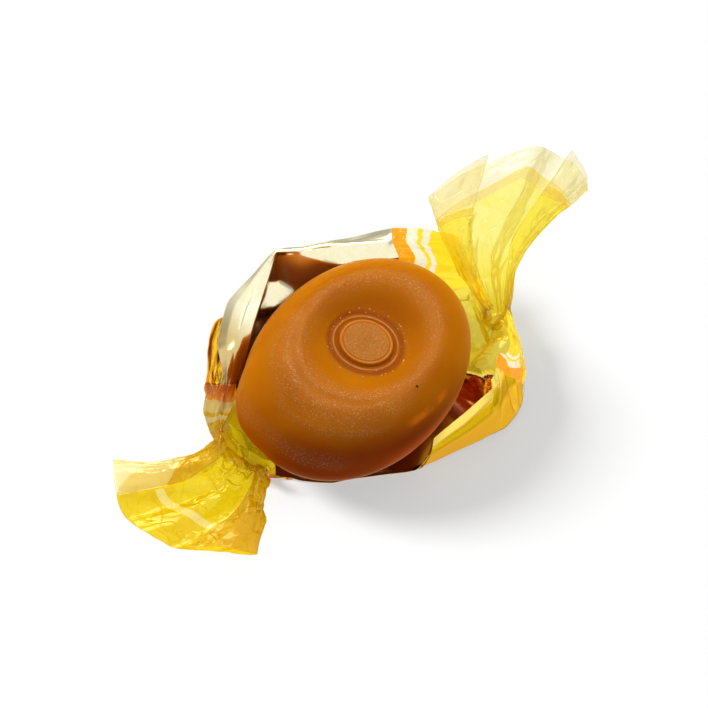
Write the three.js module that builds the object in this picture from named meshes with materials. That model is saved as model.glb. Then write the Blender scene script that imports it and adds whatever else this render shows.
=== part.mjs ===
// A boiled caramel lying bare on its opened twist wrapper.
// Millimetres, +Z up. X runs from neck to neck of the wrapper; the object stands on z = 0.
// The shapes are laid out round the middle of the caramel, and the whole is then centred on its box.
import * as THREE from 'three';

// ---- caramel: an oval pillow with a dished top and a small round boss in the dish ----
const CARAMEL_LENGTH = 26.0;
const CARAMEL_WIDTH = 18.4;
const CARAMEL_THICKNESS = 13.0;
const CARAMEL_TURN = THREE.MathUtils.degToRad(14.5); // about Z, within the wrapper
const PLAN_ROUNDNESS = 2.05; // exponent of the oval outline; 2 is an ellipse
const SIDE_ROUNDNESS = 2.25; // exponent of the side profile
const BOSS_RADIUS = 2.45;
const BOSS_PANEL_RADIUS = 2.15; // flat panel inside the boss's raised edge
const BOSS_EDGE_HEIGHT = 0.1;
const BOSS_BELOW_TOP = 2.3;
const GROOVE_RADIUS = 2.97; // outer radius of the groove round the boss
const GROOVE_DEPTH = 0.24;
const CREST_RADIUS_LONG = 8.2; // half axes of the crest round the dish
const CREST_RADIUS_SHORT = 6.0;
const DISH_BEYOND_CREST = 1.3; // the dish fades out at this many crest radii
const DISH_STEEPNESS = 0.75; // below 1 the dish is steeper near the boss than at its end
const SHOULDER = 0.6; // how far the fuller left shoulder stands out
const SHOULDER_FROM = 2.3; // radians round the axis
const SHOULDER_TO = 3.05;
const SHOULDER_EASE = 0.35;
const FOOT_RADIUS_SHARE = 0.3; // flat foot under the caramel, as a share of its outline
const CARAMEL_SIDES = 52;
const DISH_PARTS = [0.15, 0.3, 0.45, 0.6, 0.8, 1]; // rings from the groove to the end of the dish
const RIM_DEGREES = [25, 50, 70, 90]; // rings from there to the widest place
const UNDERSIDE_DEGREES = [78, 64, 50, 36, 18, 0]; // and from there to the foot

// ---- wrapper: one sheet of film, gathered at two necks and spread into two tails ----
const FILM = 0.35; // thickness
const FILM_CLEARANCE = 0.15; // between the film on the floor and the caramel's foot
const FOLD_ALONG = 0.38; // how far a bend is rounded, in stations along the wrapper
const FOLD_ACROSS = 0.38; // and in rails across it
const NECK_PLEATS = 7;
const NECK_PLEAT_DEPTH = 0.26;
const NECK_PLEAT_SPREAD = 0.75; // in stations
const TAIL_WAVES = 2.6;
const TAIL_WAVE_HEIGHT = 0.3;
const TAIL_GAP_ANGLE = 30; // half of the open seam of a tail, seen along it, in degrees
const RAILS = 8; // near rim, near wall, near foot, floor, far foot, far wall, ridge, free edge
const STEPS_ALONG = 72;
const STEPS_ACROSS = 32;

// Each tail section is a flattened loop: its near side, its middle, its far side and half its height.
const LEFT_TAIL = [
  { near: [-17.5, -9.0, 1.2], middle: [-25.5, -0.6, 1.3], far: [-23.0, 6.8, 2.3], rise: 0.8 },
  { near: [-14.4, -6.0, 1.3], middle: [-18.5, -1.9, 1.6], far: [-20.3, 4.1, 2.6], rise: 0.85 },
  { near: [-13.1, -4.0, 1.7], middle: [-15.3, -1.4, 2.1], far: [-16.9, 2.7, 3.0], rise: 1.0 },
  { near: [-11.7, -3.1, 2.1], middle: [-13.3, -0.6, 2.6], far: [-15.0, 2.0, 3.7], rise: 1.25 },
];
const RIGHT_TAIL = [
  { near: [19.1, -1.7, 3.8], middle: [17.3, -1.9, 4.5], far: [15.5, -1.9, 5.3], rise: 1.15 },
  { near: [20.1, -0.4, 4.5], middle: [18.0, -0.3, 5.2], far: [15.7, 0.1, 6.0], rise: 1.05 },
  { near: [22.6, 1.7, 5.9], middle: [19.2, 2.9, 7.2], far: [15.2, 3.4, 7.9], rise: 0.95 },
  { near: [28.0, 3.1, 7.1], middle: [22.0, 5.2, 9.2], far: [15.9, 7.6, 9.4], rise: 0.85 },
  { near: [33.5, 3.4, 8.2], middle: [30.6, 9.6, 12.2], far: [16.4, 10.5, 10.4], rise: 0.8 },
];

// The opened pouch between the necks, as rails that run along it, one point for each station.
const NEAR_RIM = [
  [-11.6, -3.5, 1.0], [-9.6, -4.0, 0.1], [-5.5, -6.5, 0.1], [-0.9, -8.1, 0.1],
  [2.4, -8.9, 4.8], [7.5, -8.4, 5.6], [12.6, -6.8, 7.2], [15.2, -4.8, 6.4],
];
const NEAR_FOOT = [
  [-12.0, -2.4, 0.5], [-9.8, -3.0, 0], [-5.5, -5.4, 0], [-0.7, -7.2, 0],
  [1.5, -10.7, 0], [8.0, -10.8, 0], [13.9, -10.0, 0.5], [18.0, -7.0, 1.9],
];
const FAR_FOOT = [
  [-12.6, 2.0, 0.6], [-10.0, 6.0, 0], [-5.0, 8.6, 0], [0.5, 9.3, 0],
  [3.5, 9.0, 0], [8.0, 8.2, 0], [13.0, 6.3, 0.2], [18.5, 2.6, 1.6],
];
const FAR_WALL = [
  [-13.8, 4.2, 3.2], [-11.4, 8.6, 3.9], [-7.2, 12.2, 4.4], [0.5, 10.9, 5.6],
  [3.5, 9.9, 7.5], [8.0, 9.2, 7.1], [13.4, 7.6, 6.3], [19.2, 4.2, 3.6],
];
const RIDGE = [
  [-12.1, 3.2, 6.2], [-9.5, 6.7, 7.3], [-4.3, 10.3, 8.7], [0.3, 13.4, 9.8],
  [3.5, 12.3, 9.4], [8.0, 10.9, 8.8], [12.9, 9.7, 7.9], [18.9, 6.6, 5.6],
];
const FREE_EDGE = [
  [-12.7, 5.1, 5.2], [-10.0, 9.3, 6.1], [-5.6, 12.0, 7.3], [-0.2, 13.9, 9.5],
  [3.5, 13.0, 9.5], [8.0, 11.6, 8.9], [13.0, 10.5, 8.0], [19.4, 7.3, 5.8],
];
const NEAR_WALL_BULGE = 0.25; // how far the near wall stands out, as a share of its height

const vec = (p) => new THREE.Vector3(p[0], p[1], p[2]);
const smoothstep = (t) => {
  const c = THREE.MathUtils.clamp(t, 0, 1);
  return c * c * (3 - 2 * c);
};
const smootherstep = (t) => t * t * t * (10 - 15 * t + 6 * t * t);

// ---- caramel ----

// Distance from the axis to a superellipse of half axes a and b, in direction angle.
function ovalRadius(angle, a, b, exponent) {
  const across = Math.abs(Math.cos(angle) / a) ** exponent + Math.abs(Math.sin(angle) / b) ** exponent;
  return across ** (-1 / exponent);
}

// Height of the plain pillow above its middle plane at a share of its outline radius.
function pillowHeight(share) {
  return (CARAMEL_THICKNESS / 2) * Math.max(0, 1 - share ** SIDE_ROUNDNESS) ** (1 / SIDE_ROUNDNESS);
}

// Distance from the axis to the plan outline: an oval with one fuller shoulder.
function outlineRadius(angle) {
  const shoulder = smoothstep((angle - SHOULDER_FROM) / SHOULDER_EASE) * smoothstep((SHOULDER_TO - angle) / SHOULDER_EASE);
  return ovalRadius(angle, CARAMEL_LENGTH / 2, CARAMEL_WIDTH / 2, PLAN_ROUNDNESS) + SHOULDER * shoulder;
}

// Distance from the axis to the end of the dish.
function dishRadius(angle) {
  return DISH_BEYOND_CREST * ovalRadius(angle, CREST_RADIUS_LONG, CREST_RADIUS_SHORT, 2);
}

// Height of the top at radius r: boss, groove, dish and pillow from the middle outwards.
function topHeight(r, outline, dishEnd) {
  const bossTop = CARAMEL_THICKNESS / 2 - BOSS_BELOW_TOP;
  if (r <= BOSS_PANEL_RADIUS) return bossTop - BOSS_EDGE_HEIGHT;
  if (r <= BOSS_RADIUS) return bossTop;
  const grooveFloor = bossTop - GROOVE_DEPTH;
  if (r < GROOVE_RADIUS) return grooveFloor;
  const part = Math.min(1, (r - GROOVE_RADIUS) / (dishEnd - GROOVE_RADIUS));
  const depth = pillowHeight(GROOVE_RADIUS / outline) - grooveFloor;
  return pillowHeight(r / outline) - depth * (1 - smootherstep(part ** DISH_STEEPNESS));
}

// Closed polar mesh: a point at each pole and rings of points between them.
function polarSolid(rings, sides, bottom, top) {
  const position = [...top];
  for (const ring of rings) {
    for (let i = 0; i < sides; i++) position.push(...ring((2 * Math.PI * i) / sides));
  }
  position.push(...bottom);
  const index = [];
  const at = (ring, i) => 1 + ring * sides + (i % sides);
  const last = 1 + rings.length * sides;
  for (let i = 0; i < sides; i++) {
    index.push(0, at(0, i), at(0, i + 1));
    for (let k = 0; k + 1 < rings.length; k++) {
      index.push(at(k, i), at(k + 1, i), at(k + 1, i + 1));
      index.push(at(k, i), at(k + 1, i + 1), at(k, i + 1));
    }
    index.push(last, at(rings.length - 1, i + 1), at(rings.length - 1, i));
  }
  const geometry = new THREE.BufferGeometry();
  geometry.setAttribute('position', new THREE.Float32BufferAttribute(position, 3));
  geometry.setIndex(index);
  geometry.computeVertexNormals();
  return geometry;
}

function caramelGeometry() {
  const pointAt = (angle, r, z) => [r * Math.cos(angle), r * Math.sin(angle), z];
  const rings = [];
  const onTop = (radius) => rings.push((angle) => {
    const r = radius(angle);
    return pointAt(angle, r, topHeight(r, outlineRadius(angle), dishRadius(angle)));
  });
  const grooveMiddle = (BOSS_RADIUS + GROOVE_RADIUS) / 2;
  for (const r of [BOSS_PANEL_RADIUS, BOSS_PANEL_RADIUS + 0.1, BOSS_RADIUS, grooveMiddle, GROOVE_RADIUS]) {
    onTop(() => r);
  }
  for (const part of DISH_PARTS) {
    onTop((angle) => GROOVE_RADIUS + (dishRadius(angle) - GROOVE_RADIUS) * part);
  }
  // A ring on the pillow, above its widest place or below it, from a starting share outwards.
  const onPillow = (startShare, degrees, side) => rings.push((angle) => {
    const start = startShare(angle);
    const share = start + (1 - start) * Math.sin(THREE.MathUtils.degToRad(degrees));
    return pointAt(angle, share * outlineRadius(angle), side * pillowHeight(share));
  });
  for (const degrees of RIM_DEGREES) onPillow((angle) => dishRadius(angle) / outlineRadius(angle), degrees, 1);
  for (const degrees of UNDERSIDE_DEGREES) onPillow(() => FOOT_RADIUS_SHARE, degrees, -1);
  const footHeight = -pillowHeight(FOOT_RADIUS_SHARE);
  const panelHeight = CARAMEL_THICKNESS / 2 - BOSS_BELOW_TOP - BOSS_EDGE_HEIGHT;
  return polarSolid(rings, CARAMEL_SIDES, [0, 0, footHeight], [0, 0, panelHeight]);
}

// ---- wrapper ----

// Integral of a hat of height 1 that stands on -1 to 1.
function hatIntegral(x) {
  const c = THREE.MathUtils.clamp(x, -1, 1);
  return c < 0 ? (1 + c) ** 2 / 2 : 1 - (1 - c) ** 2 / 2;
}

// Shares of n points in the running mean, over half a window w on each side of t, of the bent line
// through them. It rounds every bend, and the window closes at the two ends.
function shares(t, n, w) {
  const half = Math.max(Math.min(w, t, n - 1 - t), 1e-3);
  return Array.from({ length: n }, (_, k) => (hatIntegral(t + half - k) - hatIntegral(t - half - k)) / (2 * half));
}

// A flattened loop, open at the top: its points run from the near rim round the underside to the far rim.
function loopSection({ near, middle, far, rise }) {
  return Array.from({ length: RAILS }, (_, i) => {
    const degrees = TAIL_GAP_ANGLE + ((360 - 2 * TAIL_GAP_ANGLE) * i) / (RAILS - 1);
    const angle = THREE.MathUtils.degToRad(degrees);
    const side = -Math.sin(angle); // -1 on the near side, 1 on the far side
    return vec(near).multiplyScalar((side * (side - 1)) / 2)
      .addScaledVector(vec(middle), 1 - side * side)
      .addScaledVector(vec(far), (side * (side + 1)) / 2)
      .add(new THREE.Vector3(0, 0, rise * Math.cos(angle)));
  });
}

// One section of the opened pouch, from its near rim to the free edge beyond the far ridge.
function pouchSection(i) {
  const nearRim = vec(NEAR_RIM[i]);
  const nearFoot = vec(NEAR_FOOT[i]);
  const farFoot = vec(FAR_FOOT[i]);
  const nearWall = nearRim.clone().lerp(nearFoot, 0.5);
  nearWall.y -= NEAR_WALL_BULGE * (nearRim.z - nearFoot.z) * 0.5;
  const floor = nearFoot.clone().lerp(farFoot, 0.5).setZ(0);
  return [nearRim, nearWall, nearFoot, floor, farFoot, vec(FAR_WALL[i]), vec(RIDGE[i]), vec(FREE_EDGE[i])];
}

const SECTIONS = [
  ...LEFT_TAIL.map(loopSection),
  ...NEAR_RIM.map((_, i) => pouchSection(i)),
  ...RIGHT_TAIL.map(loopSection),
];
const LEFT_NECK = LEFT_TAIL.length - 1;
const RIGHT_NECK = SECTIONS.length - RIGHT_TAIL.length;

// The smooth sheet at station u and rail v.
function smoothSheet(u, v) {
  const along = shares(u, SECTIONS.length, FOLD_ALONG);
  const across = shares(v, RAILS, FOLD_ACROSS);
  const point = new THREE.Vector3();
  SECTIONS.forEach((section, i) => section.forEach((p, j) => point.addScaledVector(p, along[i] * across[j])));
  return point;
}

// Unit normal of a sheet function, towards the side that held the caramel.
function sheetNormal(sheet, u, v) {
  const h = 0.02;
  const lastU = SECTIONS.length - 1;
  const lastV = RAILS - 1;
  const du = sheet(Math.min(u + h, lastU), v).sub(sheet(Math.max(u - h, 0), v));
  const dv = sheet(u, Math.min(v + h, lastV)).sub(sheet(u, Math.max(v - h, 0)));
  return du.cross(dv).normalize();
}

// Pleats that fan out from both necks, and waves that run along both tails.
function pleatedSheet(u, v) {
  const point = smoothSheet(u, v);
  const neckDistance = Math.min(Math.abs(u - LEFT_NECK), Math.abs(u - RIGHT_NECK));
  const pleat = NECK_PLEAT_DEPTH * Math.exp(-((neckDistance / NECK_PLEAT_SPREAD) ** 2));
  const turn = (v / (RAILS - 1)) * 2 * Math.PI;
  point.addScaledVector(sheetNormal(smoothSheet, u, v), pleat * Math.cos(NECK_PLEATS * turn));
  const beyondNeck = Math.max(LEFT_NECK - u, u - RIGHT_NECK);
  const gapTurn = THREE.MathUtils.degToRad(TAIL_GAP_ANGLE);
  const side = -Math.sin(gapTurn + ((2 * Math.PI - 2 * gapTurn) * v) / (RAILS - 1));
  point.z += TAIL_WAVE_HEIGHT * smoothstep(beyondNeck / 2) * Math.cos(TAIL_WAVES * Math.PI * side);
  return point;
}

// Closed slab: the sheet, its copy one film thickness inwards, and the four edges between them.
function wrapperGeometry() {
  const position = [];
  const row = STEPS_ACROSS + 1;
  for (let layer = 0; layer < 2; layer++) {
    for (let i = 0; i <= STEPS_ALONG; i++) {
      for (let j = 0; j <= STEPS_ACROSS; j++) {
        const u = (i / STEPS_ALONG) * (SECTIONS.length - 1);
        const v = (j / STEPS_ACROSS) * (RAILS - 1);
        const point = pleatedSheet(u, v);
        point.addScaledVector(sheetNormal(smoothSheet, u, v), layer * FILM);
        position.push(point.x, point.y, point.z);
      }
    }
  }
  const index = [];
  const at = (layer, i, j) => (layer * (STEPS_ALONG + 1) + i) * row + j;
  const quad = (a, b, c, d) => index.push(a, b, c, a, c, d);
  for (let i = 0; i < STEPS_ALONG; i++) {
    for (let j = 0; j < STEPS_ACROSS; j++) {
      quad(at(1, i, j), at(1, i + 1, j), at(1, i + 1, j + 1), at(1, i, j + 1));
      quad(at(0, i, j), at(0, i, j + 1), at(0, i + 1, j + 1), at(0, i + 1, j));
    }
    quad(at(0, i, 0), at(0, i + 1, 0), at(1, i + 1, 0), at(1, i, 0));
    quad(at(0, i + 1, STEPS_ACROSS), at(0, i, STEPS_ACROSS), at(1, i, STEPS_ACROSS), at(1, i + 1, STEPS_ACROSS));
  }
  for (let j = 0; j < STEPS_ACROSS; j++) {
    quad(at(0, 0, j + 1), at(0, 0, j), at(1, 0, j), at(1, 0, j + 1));
    quad(at(0, STEPS_ALONG, j), at(0, STEPS_ALONG, j + 1), at(1, STEPS_ALONG, j + 1), at(1, STEPS_ALONG, j));
  }
  const geometry = new THREE.BufferGeometry();
  geometry.setAttribute('position', new THREE.Float32BufferAttribute(position, 3));
  geometry.setIndex(index);
  geometry.computeVertexNormals();
  return geometry;
}

// ---- assembly ----

const caramel = new THREE.Mesh(
  caramelGeometry(),
  new THREE.MeshStandardMaterial({ color: 0xc5700f, roughness: 0.42, metalness: 0 }),
);
caramel.name = 'caramel';
caramel.rotation.z = CARAMEL_TURN;
caramel.position.z = FILM + FILM_CLEARANCE + CARAMEL_THICKNESS / 2;

const wrapper = new THREE.Mesh(
  wrapperGeometry(),
  new THREE.MeshStandardMaterial({ color: 0xe3b52c, roughness: 0.25, metalness: 0.6 }),
);
wrapper.name = 'wrapper';

const candy = new THREE.Group();
candy.add(caramel, wrapper);
candy.updateMatrixWorld(true);
const middle = new THREE.Box3().setFromObject(candy, true).getCenter(new THREE.Vector3());
candy.position.set(-middle.x, -middle.y, 0);

export default candy;
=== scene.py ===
"""Looks for a boiled caramel on its opened twist wrapper: caramel, film, floor, light and camera."""
import math

import bpy
import numpy as np
from mathutils import Matrix, Vector


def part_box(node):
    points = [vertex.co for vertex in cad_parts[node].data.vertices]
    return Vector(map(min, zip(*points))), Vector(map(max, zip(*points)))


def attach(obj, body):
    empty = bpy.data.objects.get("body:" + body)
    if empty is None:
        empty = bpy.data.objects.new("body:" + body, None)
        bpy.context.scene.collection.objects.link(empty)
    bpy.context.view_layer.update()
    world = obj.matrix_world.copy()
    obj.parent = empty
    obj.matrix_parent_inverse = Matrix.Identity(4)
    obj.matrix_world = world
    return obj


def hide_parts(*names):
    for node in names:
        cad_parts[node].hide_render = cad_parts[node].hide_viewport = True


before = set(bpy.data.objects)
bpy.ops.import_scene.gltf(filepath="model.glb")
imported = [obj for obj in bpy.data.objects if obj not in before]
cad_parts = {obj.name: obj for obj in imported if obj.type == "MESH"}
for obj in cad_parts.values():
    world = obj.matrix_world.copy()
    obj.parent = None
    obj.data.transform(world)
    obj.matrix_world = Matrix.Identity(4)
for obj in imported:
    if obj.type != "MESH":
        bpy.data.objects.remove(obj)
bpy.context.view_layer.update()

# Shapes are worked out in millimetres round the middle of the caramel, as in the solid's own source.
MM = 0.001
caramel_low, caramel_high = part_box("caramel")
MIDDLE = np.array(((caramel_low.x + caramel_high.x) / 2, (caramel_low.y + caramel_high.y) / 2, 0.0))

# ---- camera ----
VIEW_AZIMUTH = math.radians(-55.65)
VIEW_ELEVATION = math.radians(51.93)
VIEW_ROLL = math.radians(19.29)
VIEW_DISTANCE = 320.0
AIM_HEIGHT = 7.0
LENS = 176.3
SENSOR = 36.0
IMAGE_SIDE = 708
FOCAL_PIXELS = LENS / SENSOR * IMAGE_SIDE
AIM_COLUMN = 356.98  # where the image shows the aim, in pixels from its left side and from its top
AIM_ROW = 368.08
BACK = np.array((
    math.sin(VIEW_AZIMUTH) * math.cos(VIEW_ELEVATION),
    -math.cos(VIEW_AZIMUTH) * math.cos(VIEW_ELEVATION),
    math.sin(VIEW_ELEVATION),
))
LEVEL = np.array((math.cos(VIEW_AZIMUTH), math.sin(VIEW_AZIMUTH), 0.0))
UPRIGHT = np.cross(BACK, LEVEL)
RIGHT = math.cos(VIEW_ROLL) * LEVEL + math.sin(VIEW_ROLL) * UPRIGHT
UP = math.cos(VIEW_ROLL) * UPRIGHT - math.sin(VIEW_ROLL) * LEVEL
EYE = np.array((0, 0, AIM_HEIGHT)) + VIEW_DISTANCE * BACK

# ---- caramel ----
CARAMEL_LENGTH = 26.0
CARAMEL_WIDTH = 18.4
CARAMEL_THICKNESS = 13.0
CARAMEL_TURN = math.radians(14.5)
CARAMEL_MIDDLE_HEIGHT = 7.0
PLAN_ROUNDNESS = 2.05
SIDE_ROUNDNESS = 2.25
BOSS_RADIUS = 2.45
BOSS_PANEL_RADIUS = 2.15
BOSS_BELOW_TOP = 2.3
GROOVE_RADIUS = 2.97
GROOVE_DEPTH = 0.24
CREST_RADIUS_LONG = 8.2
CREST_RADIUS_SHORT = 6.0
SHOULDER = 0.6  # how far the fuller left shoulder stands out, and where it starts and ends round the axis
SHOULDER_FROM = 2.3
SHOULDER_TO = 3.05
SHOULDER_EASE = 0.35

# ---- wrapper ----
FILM = 0.02
CARAMEL_CLEARANCE = 0.1  # least distance from the film to the caramel
FLOOR_CLEARANCE = 0.06
FILM_LIFT = 0.12  # the thin film lies this far inside the solid's outer face
FOLD_ALONG = 0.07
FOLD_AT_ENDS = 0.38
TAIL_GAP_ANGLE = math.radians(30)  # half of the gap in a tail's loop
LOOP_TURN = 2 * math.pi - 2 * TAIL_GAP_ANGLE
UV_SPAN = 100.0  # mm of the print to one unit of the UV map
RAIL_GAP = 4.0  # mm from rail to rail in it
PRINT_AT_NECK = 12.0  # the print's distance from the metal at both necks, and its gain at each station beyond
PRINT_AT_STATION = 6.0
TAIL_STRIPE = 31.0
TAIL_PALE = 45.0
LEFT_STRIPE = 2.15  # stations beyond the left neck
RIGHT_STRIPE = [3.25, 3.5, 2.95]  # near side, middle and far side of the right tail, beyond its neck
# The left tail's clear corner: its middle rail, its start there, and its slant for each rail.
LEFT_PALE_RAIL = 10.4
LEFT_PALE_START = 1.2
LEFT_PALE_SLANT = 0.6
LEFT_TAIL = [  # near side, middle, far side and half the height of each loop
    ((-17.5, -9.0, 1.2), (-25.5, -0.6, 1.3), (-23.0, 6.8, 2.3), 0.8),
    ((-14.4, -6.0, 1.3), (-18.5, -1.9, 1.6), (-20.3, 4.1, 2.6), 0.85),
    ((-13.1, -4.0, 1.7), (-15.3, -1.4, 2.1), (-16.9, 2.7, 3.0), 1.0),
    ((-11.7, -3.1, 2.1), (-13.3, -0.6, 2.6), (-15.0, 2.0, 3.7), 1.25),
]
RIGHT_TAIL = [
    ((19.1, -1.7, 3.8), (17.3, -1.9, 4.5), (15.5, -1.9, 5.3), 1.15),
    ((20.1, -0.4, 4.5), (18.0, -0.3, 5.2), (15.7, 0.1, 6.0), 1.05),
    ((22.6, 1.7, 5.9), (19.2, 2.9, 7.2), (15.2, 3.4, 7.9), 0.95),
    ((28.0, 3.1, 7.1), (22.0, 5.2, 9.2), (15.9, 7.6, 9.4), 0.85),
    ((33.5, 3.4, 8.2), (30.6, 9.6, 12.2), (16.4, 10.5, 10.4), 0.8),
]
LEFT_NECK = len(LEFT_TAIL) - 1
RIGHT_NECK = 12
HALF_WAY = 7.5  # station between the left and the right half of the print
LAST_STATION = RIGHT_NECK + len(RIGHT_TAIL) - 1

# Rails run the wrapper's length, and stations count along them. With each rail: how softly the film bends
# over it, then the stations where its metal ends at the left and at the right. The floor's rail has no knots,
# because it lies half way between the feet.
RAILS = {
    "near_rim": (0.2, 4.12, 10.32),
    "near_shoulder": (0.32, 4.18, 10.5),
    "near_wall": (0.4, 4.3, 10.83),
    "near_foot": (0.2, 4.5, 11.11),
    "near_floor": (0.45, 4.9, 10.25),
    "floor": (0.5, 5.2, 10.0),
    "far_foot": (0.12, 5.25, 9.8),
    "far_low": (0.14, 4.87, 9.8),
    "far_mid": (0.14, 4.64, 9.85),
    "far_shelf": (0.05, 4.56, 9.92),
    "rim": (0.04, 4.48, 9.95),
    "cuff": (0.75, 4.42, 9.95),
    "edge": (0.4, 4.4, 9.95),
}
# Knots of the rails between the necks. Those that the camera sees: station: column and row of the image in
# pixels, and height.
SEEN_KNOTS = {
    "near_rim": {
        4: (270, 476, 0.8), 4.5: (284, 478, 0.3), 5: (300, 481.5, 0.1), 6: (333, 484, 0.1),
        6.6: (352, 480, 0.1), 7: (381, 476, 0.1), 7.4: (406, 473, 0.1), 7.6: (418, 470.5, 0.5),
        7.78: (426.5, 460, 2.4), 8: (431.6, 440.5, 5.0), 8.5: (447, 427.5, 5.3), 9: (462, 415, 5.6),
        10: (493.5, 389, 6.8), 10.3: (497.5, 369, 7.6), 10.55: (500, 353, 7.7), 10.85: (508, 354, 7.0),
        11.2: (512, 345, 5.6),
    },
    "near_shoulder": {
        4: (268, 477, 0.5), 5: (298, 480, 0.1), 6: (332, 482, 0.1), 7: (380, 473.5, 0.1),
        7.4: (404, 472, 0.1), 7.6: (416, 470.7, 0.3), 7.78: (424.5, 463, 1.7), 8: (430, 451.5, 4.4),
        8.5: (446.5, 439.5, 4.7), 9: (463, 427, 5.0), 10: (496, 398, 6.1), 10.3: (502, 382, 6.6),
        10.55: (507, 369, 6.7), 10.85: (513, 362, 6.0), 11.2: (518, 350, 4.8),
    },
    "near_wall": {
        4: (266, 478, 0.3), 5: (296, 479, 0), 6: (331, 480, 0), 7: (379, 472, 0),
        7.4: (402, 471, 0), 7.6: (413, 470.9, 0.1), 7.78: (422, 466, 0.9), 8: (427.5, 458.5, 3.8),
        8.5: (443, 450, 3.8), 9: (460, 440, 3.9), 10: (493, 418, 4.4), 10.3: (505, 406, 4.0),
        10.55: (513, 394, 3.9), 10.85: (519.5, 378, 3.8), 11.2: (522, 356, 3.6),
    },
    "near_foot": {
        4: (262, 480, 0.1), 5: (288, 478, 0), 6: (330, 478, 0), 7: (376, 471, 0),
        7.4: (398, 471.5, 0), 7.6: (410, 471.5, 0), 7.78: (415, 471.5, 0), 8: (420, 471, 0),
        8.5: (436, 464, 0), 9: (455, 456, 0), 10: (490, 440, 0), 10.3: (506.5, 433.5, 0),
        10.6: (518.7, 420, 0), 10.85: (524.5, 408, 0.4), 11.1: (525.7, 385, 1.3), 11.4: (524.7, 350, 2.4),
    },
    "far_foot": {
        5.65: (254, 323.5, 4.4), 6.3: (263, 318, 4.7), 6.9: (273, 312, 5.0), 7.4: (290, 322, 1.2),
    },
    "far_low": {
        4: (207, 427, 2.6), 4.4: (203.5, 402, 3.0), 5: (204, 380, 3.4), 5.65: (209, 340, 4.0),
        5.9: (214, 318, 4.6), 6.2: (255, 311, 5.5), 6.5: (265, 309.5, 5.7), 7: (276, 309, 5.8),
        8: (308, 312, 5.2), 9: (352, 300, 4.8), 10: (402, 292, 4.2),
    },
    "far_mid": {
        4: (213, 414, 4.4), 4.4: (213, 395, 4.9), 5: (214, 370, 5.4), 5.65: (222, 332, 6.0),
        5.9: (232, 312, 6.4), 6.2: (258, 297, 6.6), 6.5: (268, 280.5, 6.9), 7: (278, 280.5, 6.8),
        7.55: (295.6, 288, 6.6), 8: (309, 293, 6.3), 9: (351, 283, 6.6), 10: (402, 272, 6.2),
    },
    "far_shelf": {
        4: (222, 410, 5.1), 4.4: (224, 392, 5.7), 5: (228, 366, 6.3), 5.65: (237, 328, 6.9),
        5.9: (245, 309, 7.3), 6.2: (260, 297, 7.3), 6.5: (268.5, 278.5, 7.6), 6.8: (272.5, 264, 8.5),
        7: (276.5, 254, 9.3), 7.4: (288, 255, 9.4), 7.7: (297.5, 253.5, 9.3), 8.3: (322, 260.5, 8.8),
        8.7: (338, 265, 8.7), 9: (351, 268, 8.5), 10: (402, 257, 8.2), 11: (462, 262, 4.8),
    },
    "rim": {
        4: (232, 408, 5.2), 4.5: (236, 383, 5.5), 5: (246, 358, 6.3), 5.2: (248.5, 347, 6.8),
        5.35: (250, 339, 7.3), 5.65: (254, 323, 7.8), 5.9: (259, 308, 8.1), 6.2: (263, 295, 8.3),
        6.5: (268.5, 277.5, 8.7), 6.8: (272, 263, 9.2), 7: (275, 252.5, 9.7), 7.4: (288, 252.5, 9.6),
        7.7: (297, 251.6, 9.5), 8.3: (320, 247.5, 9.4), 9: (351, 245, 9.4), 9.5: (372, 246, 9.3),
        9.8: (386, 246, 9.1), 9.95: (392, 244, 8.9), 10.1: (398, 243, 8.7), 10.5: (418, 243, 8.3),
        11: (458, 248, 5.6),
    },
    "cuff": {
        4: (222, 404, 4.9), 4.5: (228.5, 381, 6.1), 5: (233, 358, 7.1), 5.2: (234.5, 349, 7.5),
        5.3: (235, 342, 7.6), 5.65: (238, 323, 7.9), 5.9: (242, 310, 8.1), 6.2: (249, 297, 8.4),
        6.5: (258, 279, 8.9), 6.8: (267, 265, 9.3), 7: (274.5, 251.5, 9.8), 7.4: (288, 251, 9.7),
        7.7: (297, 250.4, 9.6), 8.3: (320, 246, 9.5), 9: (351, 243.4, 9.5), 9.5: (372, 242.6, 9.4),
        9.8: (386, 241, 9.3), 9.95: (391.5, 238, 9.3), 10.1: (398, 235, 9.0), 10.5: (418, 234, 8.6),
        11: (458, 244, 5.8),
    },
    "edge": {
        4: (212, 400, 4.4), 4.5: (222, 381, 5.9), 4.8: (222.5, 371, 6.5), 5: (219.5, 360, 6.8),
        5.2: (218, 350, 6.9), 5.3: (217.5, 345, 6.6), 5.65: (220, 330, 6.7), 5.9: (228, 303, 7.3),
        6.2: (240, 290, 7.9), 6.5: (252, 276, 8.5), 6.8: (264, 262.5, 9.1), 7: (274.5, 251, 9.7),
        7.4: (288, 249.6, 9.5), 7.7: (298, 248.6, 9.4), 8.3: (320, 244.3, 9.3), 9: (351, 238.6, 9.0),
        9.5: (372, 234, 8.7), 9.8: (386, 231.6, 8.6), 9.95: (391, 230.4, 8.9), 10.1: (398, 228.5, 8.8),
        10.5: (418, 228.5, 8.6), 11: (457, 237, 5.9),
    },
}
HIDDEN_KNOTS = {  # station: x, y and z, where the caramel or the film hides them
    "near_floor": {
        4: (-11.6, -1.2, 0.1), 5: (-9, -1, 0), 7: (-1, -4, 0), 8: (3.2, -7.2, 0.1), 8.6: (5.6, -6.8, 0.4),
        9.2: (8.5, -6.7, 1), 9.8: (11, -7.8, 2.7), 10.4: (12.7, -4.6, 4.1), 11: (16.4, -3.4, 5.6),
    },
    "far_foot": {
        4: (-12.6, 2, 0.6), 5: (-10.4, 6, 0), 8: (3.5, 9, 0), 9: (8, 8.2, 0), 10: (13, 6.3, 0.2),
        11: (18.5, 2.6, 1.6),
    },
    "far_low": {11: (18.9, 3.5, 2.6)},
    "far_mid": {11: (19.2, 4.4, 3.8)},
}


# ---- shader maths ----


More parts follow.
